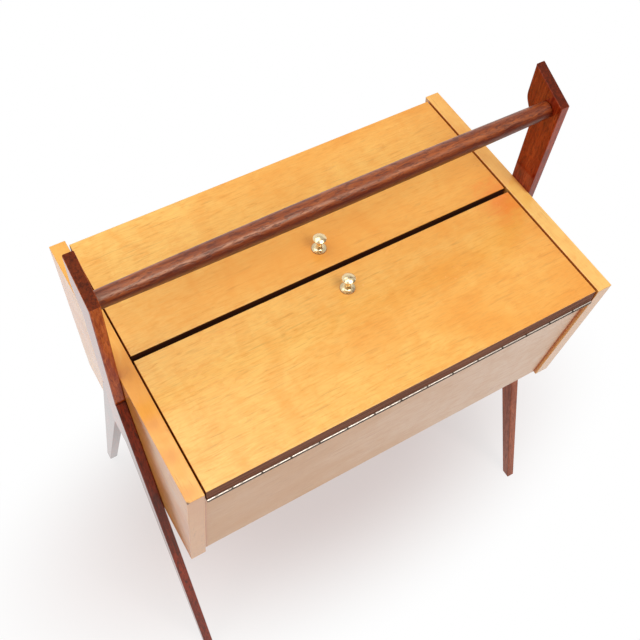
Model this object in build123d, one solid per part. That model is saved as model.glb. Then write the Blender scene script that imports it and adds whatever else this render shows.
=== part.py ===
"""Sewing box of lacquered birch between two dark end frames with a turned carrying rod.

Millimetres. X runs along the length, Y from front to back, Z up. The origin is on the floor,
midway between the two end frames and midway between the front and back feet.
"""

import os
from math import cos, radians, tan

from build123d import *

# Case
case_length = 450.0
rim_height = 455.0
case_height = 192.0
case_taper = 6.0
wall_reach = 141.3
wall_thickness = 12.0
end_panel_thickness = 16.0
panel_front_lip = 4.2
panel_back_lip = 8.2
panel_corner_round = 0.8
panel_edge_round = 0.6
bottom_thickness = 6.0
bottom_recess = 8.0
groove_depth = 5.0

# Lids
lid_thickness = 16.0
lid_drop = 0.8
lid_overhang = 2.0
lid_end_gap = 1.8
centre_gap = 6.0
lid_edge_round = 0.6
strip_depth = 4.0
strip_cover = 1.0

# Piano hinges
barrel_diameter = 3.6
barrel_clearance = 0.3
leaf_thickness = 0.7
leaf_setback = 1.3
knuckle_pitch = 28.3
knuckle_gap = 0.4
hinge_pin_diameter = 1.8
hinge_pin_clearance = 0.08
hinge_screw_diameter = 2.4
hinge_screw_head = 4.6
hinge_screw_length = 11.0

# Knobs
knob_inset = 23.5
knob_foot_diameter = 14.5
knob_foot_thickness = 0.8
knob_flare_height = 4.0
knob_waist_diameter = 5.2
knob_waist_height = 9.5
knob_head_diameter = 13.2
knob_rim_height = 14.9
knob_rim_thickness = 0.9
knob_height = 18.4
knob_screw_diameter = 3.2
knob_screw_head = 6.5
knob_screw_grip = 6.0

# End frames
frame_thickness = 10.0
upright_back = 13.5
upright_front_low = 12.0
upright_front_high = 17.0
upright_end_depth = 121.0
upright_top_front = 117.5
upright_top_back = 136.0
head_back = 28.0
head_depth = 39.0
head_flare_depth = 19.0
head_flare_radius = 18.0
leg_shoulder_depth = 40.0
leg_step = 1.5
foot_reach = 150.0
foot_width = 11.5
frame_edge_round = 1.1

# Carrying rod
rod_centre_y = -1.0
rod_rise = 104.6
rod_middle_diameter = 19.5
rod_end_diameter = 16.2
rod_shoulder_radius = 0.8
rod_end_gap = 0.5
rod_tenon_diameter = 10.5
rod_tenon_cover = 3.0

# Lid rests
rest_length = 64.0
rest_width = 12.0
rest_height = 15.0
rest_chamfer = 5.0
rest_gap = 0.3

# Screws and dowels in the case; a cover is the wood left beyond a blind hole
frame_screw_diameter = 4.0
frame_screw_head = 8.0
frame_screw_cover = 3.0
frame_screw_depths = (40.0, 100.0, 150.0)
rest_screw_diameter = 3.0
rest_screw_head = 6.0
rest_screw_cover = 8.0
dowel_diameter = 6.0
dowel_cover = 7.0
dowel_in_wall = 18.0
dowels_per_joint = 3
hole_clearance = 0.05

# Levels and planes that follow from the sizes above
slope = tan(radians(case_taper))
case_floor = rim_height - case_height
outer_half = case_length / 2
inner_half = outer_half - end_panel_thickness
lid_top = rim_height - lid_drop
lid_under = lid_top - lid_thickness
lid_half = inner_half - lid_end_gap
lid_inner = centre_gap / 2
lid_reach = wall_reach + lid_overhang
barrel_radius = barrel_diameter / 2
leaf_offset = barrel_radius + barrel_clearance
axis_y = lid_reach
axis_z = lid_under - leaf_offset
wall_top = axis_z - leaf_offset
wall_slant = wall_thickness / cos(radians(case_taper))
wall_top_outer = wall_reach - slope * (rim_height - wall_top)
wall_top_inner = wall_top_outer - wall_slant
leaf_inner = wall_top_inner + leaf_setback
hinge_screw_y = wall_top_outer - wall_slant / 2
bottom_low = case_floor + bottom_recess
bottom_high = bottom_low + bottom_thickness
rest_top = lid_under - rest_gap
knob_y = lid_inner + knob_inset
rod_z = rim_height + rod_rise
upright_end = rim_height - upright_end_depth
leg_shoulder = rim_height - leg_shoulder_depth


def outline(points, radii=0.0):
    """Flat face in the YZ plane, with the corners rounded by the radii given."""
    path = FilletPolyline(*points, radius=radii, close=True)
    return make_face(Plane.YZ * path)


def along_x(face, x_start, x_end):
    """Prism of a YZ outline between two X planes."""
    return Pos(x_start, 0, 0) * extrude(face, amount=x_end - x_start, dir=(1, 0, 0))


def block(x_span, y_span, z_span):
    """Box that fills the three spans."""
    size = Box(x_span[1] - x_span[0], y_span[1] - y_span[0], z_span[1] - z_span[0])
    return Pos(sum(x_span) / 2, sum(y_span) / 2, sum(z_span) / 2) * size


def round_bar(radius, x_span, y, z):
    """Cylinder along X."""
    cylinder = Cylinder(radius, x_span[1] - x_span[0], rotation=(0, 90, 0))
    return Pos(sum(x_span) / 2, y, z) * cylinder


def joined(solids):
    """One compound of separate solids."""
    return Compound(children=list(solids))


def cut(body, tools):
    for tool in tools:
        body -= tool
    return body


def eased(board, radius):
    """Board with the edges of both its faces rounded, but sharp where it stands on the floor."""
    arrises = [edge for edge in board.edges() - board.edges().filter_by(Axis.X) if edge.center().Z > 0.01]
    return fillet(arrises, radius)


def mirrored_x(shape):
    return mirror(shape, about=Plane.YZ)


def mirrored_y(shape):
    return mirror(shape, about=Plane.XZ)


def leaning(reach, z):
    """Distance from the middle plane, at one level, to a face that leans inward below the rim."""
    return reach - slope * (rim_height - z)


def screw(diameter, head, length):
    """Countersunk screw along -Z, with the flat top of its head at the origin."""
    profile = Polyline(
        (0, 0),
        (head / 2, 0),
        (diameter / 2, (diameter - head) / 2),
        (diameter / 2, diameter - length),
        (0, -length),
        close=True,
    )
    return revolve(make_face(Plane.XZ * profile), axis=Axis.Z)


def screw_hole(diameter, head, length):
    """Countersunk hole for the same screw, larger by the clearance."""
    extra = 2 * hole_clearance
    return screw(diameter + extra, head + extra, length + extra)


# End frames, drawn for the right end


def upright_outline():
    """Upright with a straight front edge that leans forward, and a head that widens to the back."""
    top_back = rim_height + upright_top_back
    head_low = top_back - head_depth
    points = [
        (-upright_front_low, upright_end),
        (upright_back, upright_end),
        (upright_back, head_low - head_flare_depth),
        (head_back, head_low),
        (head_back, top_back),
        (-upright_front_high, rim_height + upright_top_front),
    ]
    return outline(points, [0, 0, head_flare_radius, head_flare_radius, 0, 0])


def upright_front(z):
    """Y of the upright's front edge at one level."""
    rise = upright_end_depth + upright_top_front
    lean = (upright_front_high - upright_front_low) / rise
    return -upright_front_low - lean * (z - upright_end)


def front_leg_outline():
    """Tapered leg glued along the upright's front edge, with a small step at its upper end."""
    top = upright_front(leg_shoulder)
    return outline(
        [
            (top, leg_shoulder),
            (-upright_front_low, upright_end),
            (foot_width - foot_reach, 0),
            (-foot_reach, 0),
            (top - leg_step, leg_shoulder),
        ]
    )


def back_leg_outline():
    return outline(
        [
            (upright_back, leg_shoulder),
            (upright_back + leg_step, leg_shoulder),
            (foot_reach, 0),
            (foot_reach - foot_width, 0),
            (upright_back, upright_end),
        ]
    )


def leg_middle(z):
    """Y of the back leg's middle line at one level, below the end of the upright."""
    share = (upright_end - z) / upright_end
    outer = foot_reach - (foot_reach - upright_back - leg_step) * z / leg_shoulder
    inner = upright_back + (foot_reach - foot_width - upright_back) * share
    return (outer + inner) / 2


def frame_screws(make=screw):
    """Screws from inside the case: two in the upright and one in each leg."""
    length = end_panel_thickness + frame_thickness - frame_screw_cover
    body = Rotation(0, -90, 0) * make(frame_screw_diameter, frame_screw_head, length)
    upper, lower, leg = [rim_height - depth for depth in frame_screw_depths]
    upright_middle = (upright_back - upright_front_low) / 2
    places = [(upright_middle, upper), (upright_middle, lower)]
    places += [(-leg_middle(leg), leg), (leg_middle(leg), leg)]
    return [Pos(inner_half, y, z) * body for y, z in places]


def frame_board(face):
    return along_x(face, outer_half, outer_half + frame_thickness)


def frame_piece(face):
    """One board of the end frame, eased as the glued frame is and bored for its screws."""
    glued = frame_board(upright_outline())
    glued += frame_board(front_leg_outline())
    glued += frame_board(back_leg_outline())
    return cut(frame_board(face) & eased(glued, frame_edge_round), frame_screws(screw_hole))


def rod_tip():
    """X of the end of the rod's tenon."""
    return outer_half + frame_thickness - rod_tenon_cover


def upright():
    mortise_radius = rod_tenon_diameter / 2 + hole_clearance
    mortise = round_bar(mortise_radius, (outer_half, rod_tip() + hole_clearance), rod_centre_y, rod_z)
    return frame_piece(upright_outline()) - mortise


def carrying_rod():
    """Turned rod that swells towards the middle, with rounded shoulders and a tenon at each end."""
    half = outer_half - rod_end_gap
    end = rod_end_diameter / 2
    neck = rod_tenon_diameter / 2
    with BuildSketch(Plane.XY) as profile:
        with BuildLine():
            swell = ThreePointArc((-half, end), (0, rod_middle_diameter / 2), (half, end))
            Polyline(swell @ 1, (half, neck), (rod_tip(), neck), (rod_tip(), 0))
            Polyline((rod_tip(), 0), (-rod_tip(), 0), (-rod_tip(), neck), (-half, neck), swell @ 0)
        make_face()
        shoulders = profile.vertices().group_by(lambda corner: abs(corner.Y - end))[0]
        fillet(shoulders, rod_shoulder_radius)
    return Pos(0, rod_centre_y, rod_z) * revolve(profile.sketch, axis=Axis.X)


# Case, drawn for the right end and the back


def bottom_board():
    """Board that reaches into the grooves all round, its long edges cut to the walls' slope."""
    low = leaning(wall_reach, bottom_low) - wall_slant + groove_depth
    high = leaning(wall_reach, bottom_high) - wall_slant + groove_depth
    face = outline([(-low, bottom_low), (low, bottom_low), (high, bottom_high), (-high, bottom_high)])
    return along_x(face, -inner_half - groove_depth, inner_half + groove_depth)


def right_back_dowels(extra=0.0):
    """Dowels between one wall and one end panel, evenly spaced down the wall."""
    span = (inner_half - dowel_in_wall - extra, outer_half - dowel_cover + extra)
    step = (wall_top - case_floor) / dowels_per_joint
    dowels = []
    for index in range(dowels_per_joint):
        z = wall_top - step * (index + 0.5)
        y = leaning(wall_reach, z) - wall_slant / 2
        dowels.append(round_bar(dowel_diameter / 2 + extra, span, y, z))
    return dowels


def all_dowels(extra=0.0):
    right_back = right_back_dowels(extra)
    right = right_back + [mirrored_y(dowel) for dowel in right_back]
    return right + [mirrored_x(dowel) for dowel in right]


def rest_screws(make=screw):
    """Screws that hold the lid rest to the end panel."""
    length = rest_width + end_panel_thickness - rest_screw_cover
    body = Rotation(0, -90, 0) * make(rest_screw_diameter, rest_screw_head, length)
    z = rest_top - rest_height / 2
    return [Pos(inner_half - rest_width, side * rest_length / 4, z) * body for side in (-1, 1)]


def lid_rest():
    """Batten under the free edges of both lids, with its lower inner edge chamfered."""
    inner = inner_half - rest_width
    low = rest_top - rest_height
    batten = block((inner, inner_half), (-rest_length / 2, rest_length / 2), (low, rest_top))
    lower_edges = batten.edges().filter_by(Axis.Y).group_by(Axis.Z)[0]
    batten = chamfer(lower_edges.sort_by(Axis.X)[0], rest_chamfer)
    return cut(batten, rest_screws(screw_hole))


def end_panel():
    front = wall_reach + panel_front_lip
    back = wall_reach + panel_back_lip
    points = [
        (-front, rim_height),
        (-leaning(front, case_floor), case_floor),
        (leaning(back, case_floor), case_floor),
        (back, rim_height),
    ]
    panel = along_x(outline(points, panel_corner_round), inner_half, outer_half)
    panel = cut(eased(panel, panel_edge_round), frame_screws(screw_hole) + rest_screws(screw_hole))
    return cut(panel, all_dowels(hole_clearance) + [bottom_board()])


def wall():
    """Wall that leans inward towards the bottom, with a level top edge under the hinge."""
    face = outline(
        [
            (wall_top_outer, wall_top),
            (wall_top_inner, wall_top),
            (leaning(wall_reach, case_floor) - wall_slant, case_floor),
            (leaning(wall_reach, case_floor), case_floor),
        ]
    )
    board = along_x(face, -inner_half, inner_half)
    return cut(board, all_dowels(hole_clearance) + wall_leaf_screws(screw_hole) + [bottom_board()])


# Piano hinges, drawn for the back lid


def knuckle_spans(parity):
    """X spans of every second knuckle. The joints between knuckles are the same from both ends."""
    pairs = int(lid_half / knuckle_pitch)
    first = -knuckle_pitch * (pairs - 0.5)
    joints = [first + knuckle_pitch * index for index in range(2 * pairs)]
    starts = [-lid_half] + [joint + knuckle_gap / 2 for joint in joints]
    ends = [joint - knuckle_gap / 2 for joint in joints] + [lid_half]
    return list(zip(starts, ends))[parity::2]


def knuckle_section(side):
    """Section of a knuckle and the root of its leaf: side is -1 for the lower leaf, 1 for the upper.

    The root ends short of the axis, where the corner of an open lid comes down past it.
    """
    bore_radius = hinge_pin_diameter / 2 + hinge_pin_clearance
    root_height = leaf_offset - bore_radius
    root = Rectangle(barrel_radius / 2, root_height)
    root = Pos(-0.75 * barrel_radius, side * (bore_radius + root_height / 2)) * root
    return Circle(barrel_radius) + root - Circle(bore_radius)


def hinge_leaf(side):
    """Flat plate along the whole hinge, with every second knuckle rolled on its edge."""
    faces = [axis_z + side * leaf_offset, axis_z + side * (leaf_offset - leaf_thickness)]
    leaf = block((-lid_half, lid_half), (leaf_inner, axis_y - barrel_radius), sorted(faces))
    section = Plane.YZ * Pos(axis_y, axis_z) * knuckle_section(side)
    for start, end in knuckle_spans(0 if side < 0 else 1):
        leaf += along_x(section, start, end)
    return cut(leaf, wall_leaf_screws(screw_hole) if side < 0 else lid_leaf_screws(screw_hole))


def hinge_screws(make, z, turn):
    """One row of screws, in the middle of every second knuckle."""
    count = int((lid_half - hinge_screw_head) / (2 * knuckle_pitch))
    body = Rotation(turn, 0, 0) * make(hinge_screw_diameter, hinge_screw_head, hinge_screw_length)
    xs = [2 * knuckle_pitch * index for index in range(-count, count + 1)]
    return [Pos(x, hinge_screw_y, z) * body for x in xs]


def wall_leaf_screws(make=screw):
    return hinge_screws(make, wall_top + leaf_thickness, 0)


def lid_leaf_screws(make=screw):
    return hinge_screws(make, lid_under - leaf_thickness, 180)


def hinge_pin():
    return round_bar(hinge_pin_diameter / 2, (-lid_half, lid_half), axis_y, axis_z)


# Lids, drawn for the back one


def edge_strip(y_span):
    """Dark strip let into a long edge of the lid, under the top layer."""
    return block((-lid_half, lid_half), y_span, (lid_under, lid_top - strip_cover))


def hinge_side_strip():
    return edge_strip((lid_reach - strip_depth, lid_reach))


def gap_side_strip():
    return edge_strip((lid_inner, lid_inner + strip_depth))


def knob_screw(make=screw):
    body = make(knob_screw_diameter, knob_screw_head, lid_thickness + knob_screw_grip)
    return Pos(0, knob_y, lid_under) * (Rotation(180, 0, 0) * body)


def knob():
    """Turned knob: a thin foot that sweeps up to a slim waist, and a head with a shallow domed top."""
    foot = (knob_foot_diameter / 2, knob_foot_thickness)
    waist_low = (knob_waist_diameter / 2, knob_flare_height)
    waist_high = (knob_waist_diameter / 2, knob_waist_height)
    rim_low = (knob_head_diameter / 2, knob_rim_height)
    rim_high = (knob_head_diameter / 2, knob_rim_height + knob_rim_thickness)
    top = (0, knob_height)
    with BuildSketch(Plane.XZ) as profile:
        with BuildLine():
            Polyline(top, (0, 0), (foot[0], 0), foot)
            Spline(foot, waist_low, tangents=((-1, 0.1), (0, 1)))
            Line(waist_low, waist_high)
            Spline(waist_high, rim_low, tangents=((0, 1), (1, 0.3)))
            Line(rim_low, rim_high)
            TangentArc(top, rim_high, tangent=(1, 0))
        make_face()
    body = Pos(0, knob_y, lid_top) * revolve(profile.sketch, axis=Axis.Z)
    return body - knob_screw(screw_hole)


def lid_board():
    body = block((-lid_half, lid_half), (lid_inner, lid_reach), (lid_under, lid_top))
    top_edges = body.edges().group_by(Axis.Z)[-1]
    body = fillet(top_edges, lid_edge_round)
    tools = [hinge_side_strip(), gap_side_strip(), knob_screw(screw_hole)]
    return cut(body, tools + lid_leaf_screws(screw_hole))


def save(name, shape):
    shape.label = name
    export_step(shape, f"parts/{name}.step")


def save_pair(name, shape):
    """The same piece at the right end and, mirrored, at the left end."""
    save(f"right_{name}", shape)
    save(f"left_{name}", mirrored_x(shape))


def save_case():
    save("back_wall", wall())
    save("front_wall", mirrored_y(wall()))
    save("bottom_board", bottom_board())
    save("wall_dowels", joined(all_dowels()))
    save_pair("end_panel", end_panel())
    save_pair("lid_rest", lid_rest())
    save_pair("lid_rest_screws", joined(rest_screws()))


def save_frames():
    save("carrying_rod", carrying_rod())
    save_pair("upright", upright())
    save_pair("front_leg", frame_piece(front_leg_outline()))
    save_pair("back_leg", frame_piece(back_leg_outline()))
    save_pair("frame_screws", joined(frame_screws()))


def save_lid(side, place):
    """All that belongs to one lid and its hinge, put in place by the function given."""
    save(f"{side}_lid_board", place(lid_board()))
    save(f"{side}_lid_hinge_strip", place(hinge_side_strip()))
    save(f"{side}_lid_gap_strip", place(gap_side_strip()))
    save(f"{side}_knob", place(knob()))
    save(f"{side}_knob_screw", place(knob_screw()))
    save(f"{side}_hinge_lid_leaf", place(hinge_leaf(1)))
    save(f"{side}_hinge_wall_leaf", place(hinge_leaf(-1)))
    save(f"{side}_hinge_pin", place(hinge_pin()))
    save(f"{side}_lid_leaf_screws", place(joined(lid_leaf_screws())))
    save(f"{side}_wall_leaf_screws", place(joined(wall_leaf_screws())))


os.makedirs("parts", exist_ok=True)
save_case()
save_frames()
save_lid("back", lambda shape: shape)
save_lid("front", mirrored_y)
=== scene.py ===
from math import cos, pi, radians, sin

import bmesh
import bpy
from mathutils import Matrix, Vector

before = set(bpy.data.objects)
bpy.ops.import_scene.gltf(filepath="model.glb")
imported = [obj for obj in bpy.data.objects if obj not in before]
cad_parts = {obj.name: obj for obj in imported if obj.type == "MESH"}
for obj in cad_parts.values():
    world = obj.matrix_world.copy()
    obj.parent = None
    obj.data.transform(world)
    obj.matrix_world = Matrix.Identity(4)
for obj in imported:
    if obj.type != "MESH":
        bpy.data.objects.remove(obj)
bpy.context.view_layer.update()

# Directions, the middle of the box on the floor, and how far the legs splay outward
to_right = (1.0, 0.0, 0.0)
to_left = (-1.0, 0.0, 0.0)
to_back = (0.0, 1.0, 0.0)
to_front = (0.0, -1.0, 0.0)
upward = (0.0, 0.0, 1.0)
origin = (0.0, 0.0, 0.0)
leg_splay = radians(18.6)

# Birch, as linear colours
honey = (0.95, 0.465, 0.088)
honey_pale = (0.98, 0.600, 0.160)
honey_deep = (0.85, 0.330, 0.045)
# The walls' birch is paler and greyer than the lids': partly its own colour, partly a painted sheen
wall_birch = (0.76, 0.500, 0.245)
wall_birch_pale = (0.88, 0.730, 0.540)
wall_birch_deep = (0.70, 0.420, 0.180)
raw_birch = (0.66, 0.46, 0.27)
raw_birch_deep = (0.50, 0.32, 0.17)

# What has darkened or worn the birch, the orange of one lid corner, and the painted shade in its corners
blush_orange = (0.88, 0.25, 0.038)
pore_brown = (0.45, 0.17, 0.035)
# Painted shade for the corners of the lacquered birch
shade_orange = (0.55, 0.13, 0.018)
nick_brown = (0.06, 0.02, 0.01)
smudge_brown = (0.70, 0.25, 0.035)

# Edge strips of the lids
strip_brown = (0.245, 0.088, 0.036)
strip_dark = (0.140, 0.046, 0.018)
gap_brown = (0.085, 0.022, 0.008)
gap_dark = (0.035, 0.009, 0.004)

# Teak, each with its dark, middle and light tone, then its end grain and the tints of its sheen
rod_teak = ((0.080, 0.004, 0.001), (0.28, 0.046, 0.007), (0.44, 0.120, 0.026))
upright_teak = ((0.13, 0.006, 0.001), (0.31, 0.018, 0.003), (0.47, 0.090, 0.018))
pale_teak = ((0.20, 0.016, 0.002), (0.46, 0.075, 0.010), (0.64, 0.180, 0.030))
leg_teak = ((0.050, 0.003, 0.001), (0.22, 0.015, 0.003), (0.33, 0.040, 0.008))
dry_teak = ((0.18, 0.036, 0.015), (0.40, 0.105, 0.045), (0.52, 0.160, 0.075))
end_grain_brown = (0.125, 0.012, 0.002)
end_grain_dark = (0.035, 0.003, 0.001)
amber = (1.0, 0.70, 0.50)
pale_amber = (1.0, 0.86, 0.66)

# Metals
nickel = (0.66, 0.57, 0.49)
nickel_dull = (0.34, 0.26, 0.20)
# Painted shade for the corners of the metal
shade_brown = (0.050, 0.025, 0.015)
zinc = (0.60, 0.59, 0.56)
zinc_dull = (0.30, 0.27, 0.23)
brass = (0.86, 0.70, 0.42)
brass_dull = (0.62, 0.40, 0.18)

# The nicked corner of the left end panel, smudges along its top, the orange lid corner by the right end panel
# and the painted shadow of the rod on the lids, in metres
nicked_corner = (-0.225, -0.1455, 0.455)
panel_smudges = [(-0.219, y, 0.455) for y in (-0.012, -0.067, -0.101, -0.137)]
orange_corner = (0.196, -0.008, 0.454)
rod_shadow = (-0.030, 0.034, 0.455)

# The knuckles of the piano hinges, and how far their joints are from the middle of the box
knuckle_pitch = 0.0283
knuckle_joint_offset = 0.5 * knuckle_pitch

# The studio, in metres: a round floor that curves up into a wall
floor_radius = 2.6
floor_curve = 1.2
backdrop_top = 3.2
floor_sides = 96
curve_steps = 12
studio_white = (0.60, 0.47, 0.44)
mottled_white = tuple(0.985 * channel for channel in studio_white)

# Seen straight, the floor is at least this white, so that it holds a soft shadow, and plain white from
# the second distance on. Distances are from the middle of the box, with X, Y and Z scaled.
least_white = 0.43
shadow_distances = (0.07, 0.32)
shadow_scales = (0.62, 1.30, 1.0)

# In reflections the floor in front of the box dims to this strength between two distances
dim_distances = (0.6, 1.2)
dim_strength = 0.15

# Light from all round, as it falls on the box and as reflections show it, and the softboxes: name,
# place, the point aimed at, length of a side and watts
sky_strength = 0.30
mirrored_sky_strength = 0.65
softboxes = (
    ("front_softbox", (0.55, -1.85, 3.30), (0.0, 0.0, 0.45), 1.7, 59.0),
    ("overhead_softbox", (-1.00, 0.60, 3.60), (0.0, 0.0, 0.45), 3.0, 55.0),
    ("side_softbox", (-2.20, -0.65, 2.10), (0.0, 0.0, 0.35), 1.2, 7.0),
)

# The photograph's camera: metres, degrees and millimetres
camera_place = (-0.303903, -0.415231, 1.156885)
camera_angles = (32.757, -3.039, -30.655)
camera_lens = 51.334
camera_sensor = 36.0


class Shader:
    """The nodes of one material, in the object's own coordinates, which are metres."""

    def __init__(self, name):
        self.material = bpy.data.materials.new(name)
        self.material.use_nodes = True
        self.tree = self.material.node_tree
        self.tree.nodes.clear()
        self.surface = self.add("ShaderNodeBsdfPrincipled")
        self.output = self.add("ShaderNodeOutputMaterial")
        self.put(self.output.inputs["Surface"], self.surface.outputs["BSDF"])
        coordinates = self.add("ShaderNodeTexCoord")
        self.place = coordinates.outputs["Object"]
        self.normal = coordinates.outputs["Normal"]

    def add(self, kind, **settings):
        node = self.tree.nodes.new(kind)
        for key, value in settings.items():
            setattr(node, key, value)
        return node

    def put(self, socket, value):
        """Joins a socket to another node's output, or sets it to a number, vector or colour."""
        if isinstance(value, bpy.types.NodeSocket):
            self.tree.links.new(value, socket)
        elif socket.type == "RGBA":
            socket.default_value = (*value, 1.0)
        else:
            socket.default_value = value

    def math(self, operation, first, second=0.0):
        node = self.add("ShaderNodeMath", operation=operation)
        self.put(node.inputs[0], first)
        self.put(node.inputs[1], second)
        return node.outputs[0]

    def times(self, first, second):
        return self.math("MULTIPLY", first, second)

    def larger(self, first, second):
        return self.math("MAXIMUM", first, second)

    def vector(self, operation, first, second):
        node = self.add("ShaderNodeVectorMath", operation=operation)
        self.put(node.inputs[0], first)
        self.put(node.inputs[1], second)
        return node.outputs["Value" if operation in ("DOT_PRODUCT", "DISTANCE") else "Vector"]

    def mix(self, share, first, second):
        """The first colour or vector, with this share of the second."""
        node = self.add("ShaderNodeMix", data_type="RGBA")
        self.put(node.inputs["Factor"], share)
        self.put(node.inputs["A"], first)
        self.put(node.inputs["B"], second)
        return node.outputs["Result"]

    def span(self, value, low, high, to_low=0.0, to_high=1.0):
        """Value from low to high, mapped smoothly to another range and held there outside it."""
        node = self.add("ShaderNodeMapRange", interpolation_type="SMOOTHSTEP")
        for socket, number in zip(node.inputs, (value, low, high, to_low, to_high)):
            self.put(socket, number)
        return node.outputs["Result"]

    def tint(self, tone, value, low, high, share, colour):
        """The tone, with none of the colour where the value is low and this share of it where high."""
        return self.mix(self.span(value, low, high, 0.0, share), tone, colour)

    def facing(self, direction):
        """1 where the surface faces this way, 0 where it is side on and -1 where it faces away."""
        return self.vector("DOT_PRODUCT", self.normal, direction)

    def reached(self, direction):
        """How far the place is from the origin in this direction."""
        return self.vector("DOT_PRODUCT", self.place, direction)

    def scaled(self, scales, offset=origin, place=None):
        """The place, moved and then multiplied."""
        moved = self.vector("ADD", self.place if place is None else place, offset)
        return self.vector("MULTIPLY", moved, scales)

    def noise(self, scales, detail, roughness, distortion=0.0, place=None, offset=origin):
        """Noise from 0 to 1, with about so many features a metre along each axis of the place."""
        node = self.add("ShaderNodeTexNoise")
        self.put(node.inputs["Vector"], self.scaled(scales, offset, place))
        self.put(node.inputs["Scale"], 1.0)
        self.put(node.inputs["Detail"], detail)
        self.put(node.inputs["Roughness"], roughness)
        self.put(node.inputs["Distortion"], distortion)
        return node.outputs["Fac"]

    def edges(self, reach):
        """Nearly 0 on flat faces and 1 on corners and edges, up to the reach from them."""
        bevel = self.add("ShaderNodeBevel", samples=6)
        self.put(bevel.inputs["Radius"], reach)
        flat = self.add("ShaderNodeNewGeometry").outputs["Normal"]
        alike = self.vector("DOT_PRODUCT", bevel.outputs["Normal"], flat)
        return self.span(alike, 0.995, 0.80)

    def crevices(self, reach):
        """1 in corners between faces, of one piece or two, and 0 from the reach on."""
        node = self.add("ShaderNodeAmbientOcclusion", samples=8)
        self.put(node.inputs["Distance"], reach)
        return self.span(node.outputs["AO"], 0.95, 0.50)

    def bump(self, height, depth, after=None):
        """The normal of a relief this deep in metres, on top of the relief after which it comes."""
        node = self.add("ShaderNodeBump")
        self.put(node.inputs["Strength"], 1.0)
        self.put(node.inputs["Distance"], depth)
        self.put(node.inputs["Height"], height)
        if after:
            self.put(node.inputs["Normal"], after)
        return node.outputs["Normal"]

    def finish(self, **inputs):
        """Sets the surface's inputs, named with underscores for spaces, and gives the material."""
        for name, value in inputs.items():
            self.put(self.surface.inputs[name.replace("_", " ")], value)
        return self.material


def turned(shader, axes):
    """The place measured along these three axes."""
    combine = shader.add("ShaderNodeCombineXYZ")
    for socket, axis in zip(combine.inputs, axes):
        shader.put(socket, shader.reached(axis))
    return combine.outputs["Vector"]


def grain_frame(shader, along):
    """The place in coordinates of which the first runs with the grain, and how far a face is end grain."""
    along = Vector(along).normalized()
    aside = along.orthogonal().normalized()
    end_grain = shader.span(shader.math("ABSOLUTE", shader.facing(along)), 0.55, 0.9)
    return turned(shader, (along, aside, along.cross(aside))), end_grain


def birch_figure(shader, place):
    """The patterns of birch: clouds, flames, blotches, streaks, fibres, small marks and smudges."""
    shader.cloud = shader.noise((6.0, 13.0, 13.0), 3.0, 0.55, 0.8, place)
    shader.flame = shader.noise((34.0, 15.0, 15.0), 3.0, 0.55, 1.6, place)
    shader.blotch = shader.noise((50.0, 110.0, 110.0), 4.0, 0.60, 0.9, place, (2.0, 5.0, 1.0))
    shader.streak = shader.noise((40.0, 380.0, 380.0), 4.0, 0.66, 0.8, place)
    shader.fibre = shader.noise((90.0, 800.0, 800.0), 3.0, 0.60, 0.2, place)
    shader.mark = shader.noise((36.0, 420.0, 420.0), 2.0, 0.5, 0.3, place, (3.0, 1.0, 2.0))
    shader.smudge = shader.noise((60.0, 110.0, 110.0), 3.0, 0.6, 0.6, place, (7.0, 4.0, 6.0))


def veneer(name, along, offset=origin, colours=(honey_deep, honey, honey_pale), wear=0.35,
           painted_light_side=None, banded=False):
    """Birch veneer: soft fibres with the grain, a flame figure, blotches and a few brown marks.

    The painted light side is the direction in which the wood is painted paler, as painted light, from how far
    to how far.
    A banded board has upright, calmer veneer on the faces that would be end grain.
    """
    shader = Shader(name)
    place, end_grain = grain_frame(shader, along)
    if banded:
        place = shader.mix(end_grain, place, turned(shader, (upward, to_right, to_back)))
    birch_figure(shader, shader.vector("ADD", place, offset))
    deep, middle, pale = colours
    tone = shader.mix(shader.span(shader.cloud, 0.32, 0.68), deep, pale)
    tone = shader.mix(0.50, tone, middle)
    # Painted light: paler towards one side, and deeper away from it
    if painted_light_side:
        direction, near, far = painted_light_side
        reached = shader.reached(direction)
        tone = shader.tint(tone, reached, near, far, 0.90, pale)
        tone = shader.tint(tone, reached, near, 1.5 * near, 0.45, deep)
    tone = shader.tint(tone, shader.flame, 0.38, 0.70, 0.28, deep)
    tone = shader.tint(tone, shader.blotch, 0.45, 0.72, 0.35, deep)
    tone = shader.tint(tone, shader.blotch, 0.45, 0.24, 0.25, pale)
    boldness = 0.4 if banded else 1.0
    tone = shader.tint(tone, shader.streak, 0.45, 0.70, 0.40 * boldness, deep)
    tone = shader.tint(tone, shader.streak, 0.60, 0.76, 0.30 * boldness, pore_brown)
    tone = shader.tint(tone, shader.fibre, 0.42, 0.72, 0.16 * boldness, pore_brown)
    where_marked = shader.span(shader.cloud, 0.44, 0.56, 0.0, wear)
    marks = shader.times(shader.span(shader.mark, 0.58, 0.76), where_marked)
    marks = shader.larger(marks, shader.span(shader.smudge, 0.62, 0.82, 0.0, wear))
    tone = shader.mix(marks, tone, pore_brown)
    end_share, end_tone = (0.6, wall_birch_deep) if banded else (0.35, pore_brown)
    tone = shader.mix(shader.times(end_grain, end_share), tone, end_tone)
    worn = shader.times(shader.edges(0.0007), shader.span(shader.streak, 0.35, 0.62))
    shader.tone = shader.mix(shader.times(worn, 0.30), tone, pore_brown)
    return shader


def stain(shader, spot, reach, share, colour, stretch=1.0):
    """A spot of another colour with a ragged edge, stretched so many times along X."""
    ragged = shader.span(shader.blotch, 0.3, 0.7, -0.27 * reach, 0.27 * reach)
    from_spot = shader.vector("SUBTRACT", shader.place, spot)
    from_spot = shader.vector("MULTIPLY", from_spot, (1.0 / stretch, 1.0, 1.0))
    away = shader.math("ADD", shader.vector("DISTANCE", from_spot, origin), ragged)
    shader.tone = shader.tint(shader.tone, away, reach, 0.1 * reach, share, colour)


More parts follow.
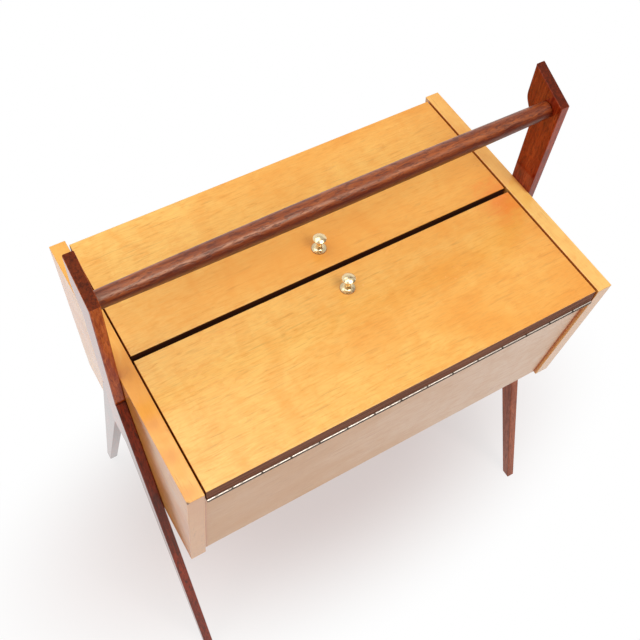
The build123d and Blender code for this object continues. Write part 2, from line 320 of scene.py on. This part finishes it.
def lacquer(shader, dullness, relief=1.0, refraction=1.5):
    """Lacquer over the veneer: painted shade turns it orange-brown in corners, and it is smeared a little
    duller.

    Dullness is its roughness, give or take a little. A higher index of refraction mirrors more.
    """
    # Painted shade: the tone turns orange-brown in corners between faces
    tone = shader.mix(shader.times(shader.crevices(0.006), 0.85), shader.tone, shade_orange)
    smear = shader.noise((23.0, 31.0, 27.0), 3.0, 0.6)
    rough = shader.span(smear, 0.25, 0.75, dullness - 0.02, dullness + 0.04)
    normal = shader.bump(shader.streak, 0.00003 * relief)
    normal = shader.bump(shader.fibre, 0.00001 * relief, normal)
    return shader.finish(Base_Color=tone, Roughness=rough, IOR=refraction, Normal=normal)


def teak_wood(name, along, tones, offset=origin, dullness=0.12, relief=0.05, shade_below_and_gloss=False,
              pore_scales=(150.0, 620.0, 620.0)):
    """Oiled dark teak: bands with the grain, open pores, and dark, dull end grain.

    A piece with shade below and gloss is darker where it faces down, which is painted shade, and has a
    stronger sheen.
    """
    shader = Shader(name)
    place, end_grain = grain_frame(shader, along)
    place = shader.vector("ADD", place, offset)
    cloud = shader.noise((12.0, 80.0, 80.0), 3.0, 0.55, 0.8, place)
    band = shader.noise((55.0, 380.0, 380.0), 4.0, 0.72, 0.9, place)
    pores = shader.span(shader.noise(pore_scales, 3.0, 0.6, 0.3, place), 0.50, 0.66)
    dark, middle, light = tones
    tone = shader.mix(shader.span(cloud, 0.34, 0.66), dark, light)
    tone = shader.mix(0.55, tone, middle)
    tone = shader.tint(tone, band, 0.46, 0.68, 0.85, dark)
    tone = shader.tint(tone, band, 0.50, 0.28, 0.60, light)
    if shade_below_and_gloss:
        # Painted shade: darker where the surface faces down
        tone = shader.tint(tone, shader.facing(upward), 0.75, 0.25, 0.70, dark)
    tone = shader.mix(shader.times(pores, 0.75 if shade_below_and_gloss else 0.60), tone, dark)
    end_tone = shader.mix(shader.span(band, 0.35, 0.65), end_grain_brown, end_grain_dark)
    tone = shader.mix(shader.times(end_grain, 0.90), tone, end_tone)
    worn = shader.times(shader.edges(0.0010), shader.span(band, 0.42, 0.60))
    tone = shader.mix(shader.times(worn, 0.30), tone, light)
    dull = shader.larger(shader.times(pores, 0.35 * relief), end_grain)
    rough = shader.span(dull, 0.0, 1.0, dullness, 0.75)
    normal = shader.bump(shader.math("SUBTRACT", 1.0, pores), 0.00009 * relief)
    normal = shader.bump(band, 0.00002 * relief, normal)
    refraction, sheen = (1.65, pale_amber) if shade_below_and_gloss else (1.42, amber)
    return shader.finish(Base_Color=tone, Roughness=rough, IOR=refraction, Specular_Tint=sheen, Normal=normal)


def dark_edge_strip(name, brown, dark, dullness):
    """Dark edge strip of the lids, with straight grain along its length and a dull surface."""
    shader = Shader(name)
    streak = shader.noise((14.0, 500.0, 500.0), 4.0, 0.6, 0.2)
    tone = shader.mix(shader.span(streak, 0.30, 0.70), brown, dark)
    worn = shader.times(shader.edges(0.0005), shader.span(streak, 0.40, 0.60))
    tone = shader.mix(shader.times(worn, 0.25), tone, honey_deep)
    rough = shader.span(streak, 0.3, 0.7, dullness, dullness + 0.15)
    return shader.finish(Base_Color=tone, Roughness=rough, IOR=1.36, Normal=shader.bump(streak, 0.00005))


def knuckle_shade_and_joints(shader):
    """1 on the hinge knuckles away from their tops, which is painted shade, and at the joints between them.
    """
    painted_shade_below = shader.span(shader.facing(upward), 0.80, 0.40)
    along = shader.math("ADD", shader.reached(to_right), knuckle_joint_offset)
    from_joint = shader.math("PINGPONG", along, 0.5 * knuckle_pitch)
    return shader.larger(painted_shade_below, shader.span(from_joint, 0.0015, 0.0006))


def metal(name, bright, dull, dullness, brush, tarnish=0.35, knuckles=False):
    """Metal with fine brushing, duller patches and painted shade in its corners."""
    shader = Shader(name)
    patch = shader.noise((260.0, 310.0, 290.0), 4.0, 0.65)
    line = shader.noise(brush, 3.0, 0.6)
    dulled = shader.span(patch, 0.45, 0.75, 0.0, tarnish)
    tone = shader.tint(shader.mix(dulled, bright, dull), line, 0.3, 0.7, 0.18, dull)
    # Painted shade in corners; on hinges also painted shade on the knuckles below their tops, and their dark
    # joints
    shade_and_joints = shader.crevices(0.002)
    if knuckles:
        shade_and_joints = shader.larger(shade_and_joints, knuckle_shade_and_joints(shader))
    tone = shader.mix(shader.times(shade_and_joints, 0.85), tone, shade_brown)
    rough = shader.math("ADD", shader.span(line, 0.3, 0.7, dullness, dullness + 0.08), dulled)
    return shader.finish(Base_Color=tone, Roughness=rough, Metallic=1.0, Normal=shader.bump(line, 0.00001))


def paint(names, material):
    """Gives these CAD nodes a material in place of the plain one they came with."""
    for name in names:
        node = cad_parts[name]
        node.data.materials.clear()
        node.data.materials.append(material)


def paint_lids_and_walls():
    # Painted light: the lids paler towards the left
    lid = veneer("birch_lid", to_right, wear=0.28, painted_light_side=(to_left, -0.14, 0.24))
    # Painted shadow of the rod: a darker band on the lids under it
    stain(lid, rod_shadow, 0.055, 0.60, honey_deep, stretch=5.0)
    # An orange patch at the lid corner next to the right end panel
    stain(lid, orange_corner, 0.038, 0.80, blush_orange)
    paint(["front_lid_board", "back_lid_board"], lacquer(lid, dullness=0.24))
    # The walls' tones are partly a painted sheen
    tones = (wall_birch_deep, wall_birch, wall_birch_pale)
    # Painted light: the walls paler towards the right
    wall = veneer("birch_wall", to_right, (0.7, 0.2, 0.0), tones, painted_light_side=(to_right, -0.06, 0.14))
    paint(["front_wall", "back_wall"], lacquer(wall, dullness=0.43, relief=0.5, refraction=2.05))


def paint_end_panels():
    left = veneer("birch_left_panel", to_back, (0.3, 0.9, 0.4), wear=0.55, banded=True)
    for smudge in panel_smudges:
        stain(left, smudge, 0.012, 0.45, smudge_brown)
    stain(left, nicked_corner, 0.003, 0.90, nick_brown)
    paint(["left_end_panel"], lacquer(left, dullness=0.15, relief=0.05))
    # Painted light: the right end panel paler towards the front
    painted_light_side = (to_front, -0.16, 0.06)
    right = veneer("birch_right_panel", to_back, (0.8, 0.1, 0.3), painted_light_side=painted_light_side, banded=True)
    paint(["right_end_panel"], lacquer(right, dullness=0.15, relief=0.05, refraction=1.7))


def paint_inside():
    """Plain birch of the bottom board, the dowels and the lid rests."""
    tones = (raw_birch_deep, raw_birch, raw_birch)
    board = lacquer(veneer("raw_board", to_right, (0.1, 0.5, 0.2), tones), dullness=0.55)
    batten = lacquer(veneer("raw_batten", to_back, (0.6, 0.5, 0.2), tones), dullness=0.55)
    paint(["bottom_board", "wall_dowels"], board)
    paint(["left_lid_rest", "right_lid_rest"], batten)


def paint_edge_strips():
    hinge_strip = dark_edge_strip("hinge_strip", strip_brown, strip_dark, dullness=0.55)
    # The gap strips are near black, far darker than the hinge strips
    gap_strip = dark_edge_strip("gap_strip", gap_brown, gap_dark, dullness=0.45)
    paint(["front_lid_hinge_strip", "back_lid_hinge_strip"], hinge_strip)
    paint(["front_lid_gap_strip", "back_lid_gap_strip"], gap_strip)


def paint_frames_and_rod():
    for upright, tones in (("left_upright", pale_teak), ("right_upright", upright_teak)):
        paint([upright], teak_wood(f"teak_{upright}", upward, tones))
    down, out = -cos(leg_splay), sin(leg_splay)
    for end, tones in (("left", leg_teak), ("right", dry_teak)):
        for side, lean in (("front", -out), ("back", out)):
            leg = f"{end}_{side}_leg"
            paint([leg], teak_wood(f"teak_{leg}", (0.0, lean, down), tones, (0.2, 0.1, 0.0)))
    rod = teak_wood("teak_rod", to_right, rod_teak, (0.1, 0.4, 0.7), dullness=0.34, relief=1.1,
                    shade_below_and_gloss=True, pore_scales=(120.0, 430.0, 430.0))
    paint(["carrying_rod"], rod)


def paint_metal():
    """Hinges, screws and knobs."""
    sides = ("front", "back")
    hinge = metal("hinge_nickel", nickel, nickel_dull, 0.34, brush=(40.0, 900.0, 900.0), knuckles=True)
    paint([f"{side}_hinge_{leaf}" for side in sides for leaf in ("wall_leaf", "lid_leaf", "pin")], hinge)
    screws = [f"{side}_{row}_leaf_screws" for side in sides for row in ("wall", "lid")]
    screws += [f"{end}_{kind}_screws" for end in ("left", "right") for kind in ("frame", "lid_rest")]
    screws += [f"{side}_knob_screw" for side in sides]
    paint(screws, metal("screw_zinc", zinc, zinc_dull, 0.32, brush=(500.0, 500.0, 500.0)))
    polished = metal("knob_brass", brass, brass_dull, 0.19, brush=(700.0, 700.0, 700.0), tarnish=0.12)
    paint([f"{side}_knob" for side in sides], polished)


def studio_floor():
    """Pale floor that curves up all round into a wall, far behind the camera of any view."""
    profile = [(floor_radius, 0.0)]
    for step in range(1, curve_steps + 1):
        angle = radians(90.0 * step / curve_steps)
        profile.append((floor_radius + floor_curve * sin(angle), floor_curve * (1 - cos(angle))))
    profile.append((floor_radius + floor_curve, backdrop_top))
    mesh = bmesh.new()
    rings = []
    for radius, height in profile:
        turns = [2 * pi * side / floor_sides for side in range(floor_sides)]
        rings.append([mesh.verts.new((radius * cos(turn), radius * sin(turn), height)) for turn in turns])
    mesh.faces.new(rings[0])
    for low, high in zip(rings, rings[1:]):
        for side in range(floor_sides):
            after = (side + 1) % floor_sides
            mesh.faces.new((low[side], high[side], high[after], low[after]))
    data = bpy.data.meshes.new("studio_floor")
    mesh.to_mesh(data)
    mesh.free()
    data.shade_smooth()
    floor = bpy.data.objects.new("studio_floor", data)
    bpy.context.scene.collection.objects.link(floor)
    data.materials.append(floor_material())


def floor_material():
    """Pale and matte near the object, where it holds the shadow, and plain white further off.

    Reflections show it white as well, but for its front, which is as dim as the room behind a camera.
    """
    shader = Shader("floor_white")
    mottle = shader.noise((3.0, 3.0, 3.0), 3.0, 0.5)
    tone = shader.mix(shader.span(mottle, 0.3, 0.7), studio_white, mottled_white)
    shader.finish(Base_Color=tone, Roughness=0.9, IOR=1.3)
    ray = shader.add("ShaderNodeLightPath").outputs
    seen = shader.larger(ray["Is Camera Ray"], ray["Is Transmission Ray"])
    seen = shader.larger(seen, ray["Is Glossy Ray"])
    dimmed = shader.times(ray["Is Glossy Ray"], shader.span(shader.reached(to_front), *dim_distances))
    white = shader.add("ShaderNodeEmission")
    shader.put(white.inputs["Color"], (1.0, 1.0, 1.0))
    shader.put(white.inputs["Strength"], shader.span(dimmed, 0.0, 1.0, 1.0, dim_strength))
    away = shader.vector("DISTANCE", shader.scaled(shadow_scales), origin)
    whiteness = shader.span(away, *shadow_distances, least_white, 1.0)
    blend = shader.add("ShaderNodeMixShader")
    shader.put(blend.inputs[0], shader.times(seen, whiteness))
    shader.put(blend.inputs[1], shader.surface.outputs["BSDF"])
    shader.put(blend.inputs[2], white.outputs["Emission"])
    shader.put(shader.output.inputs["Surface"], blend.outputs["Shader"])
    return shader.material


def softbox(name, place, aim, size, power):
    """A square lamp that shines from its place towards the point it aims at."""
    data = bpy.data.lights.new(name, "AREA")
    data.shape = "SQUARE"
    data.size = size
    data.energy = power
    lamp = bpy.data.objects.new(name, data)
    lamp.location = place
    lamp.rotation_euler = (Vector(aim) - Vector(place)).to_track_quat("-Z", "Y").to_euler()
    bpy.context.scene.collection.objects.link(lamp)


def light_studio():
    """Dim light from all round, which reflections show as a brighter ceiling, and the softboxes."""
    world = bpy.data.worlds.new("studio")
    bpy.context.scene.world = world
    world.use_nodes = True
    nodes, links = world.node_tree.nodes, world.node_tree.links
    sky = nodes["Background"]
    sky.inputs["Color"].default_value = (1.0, 1.0, 1.0, 1.0)
    strength = nodes.new("ShaderNodeMapRange")
    strength.inputs["To Min"].default_value = sky_strength
    strength.inputs["To Max"].default_value = mirrored_sky_strength
    links.new(nodes.new("ShaderNodeLightPath").outputs["Is Glossy Ray"], strength.inputs["Value"])
    links.new(strength.outputs["Result"], sky.inputs["Strength"])
    for lamp in softboxes:
        softbox(*lamp)


def place_camera():
    """The photograph's camera: a plain lens, found from the straight edges of the box."""
    data = bpy.data.cameras.new("photo_camera")
    data.sensor_width = camera_sensor
    data.lens = camera_lens
    camera = bpy.data.objects.new("photo_camera", data)
    camera.location = camera_place
    camera.rotation_euler = [radians(angle) for angle in camera_angles]
    bpy.context.scene.collection.objects.link(camera)
    bpy.context.scene.camera = camera


paint_lids_and_walls()
paint_end_panels()
paint_inside()
paint_edge_strips()
paint_frames_and_rod()
paint_metal()
studio_floor()
light_studio()
place_camera()
bpy.context.scene.view_settings.view_transform = "Standard"
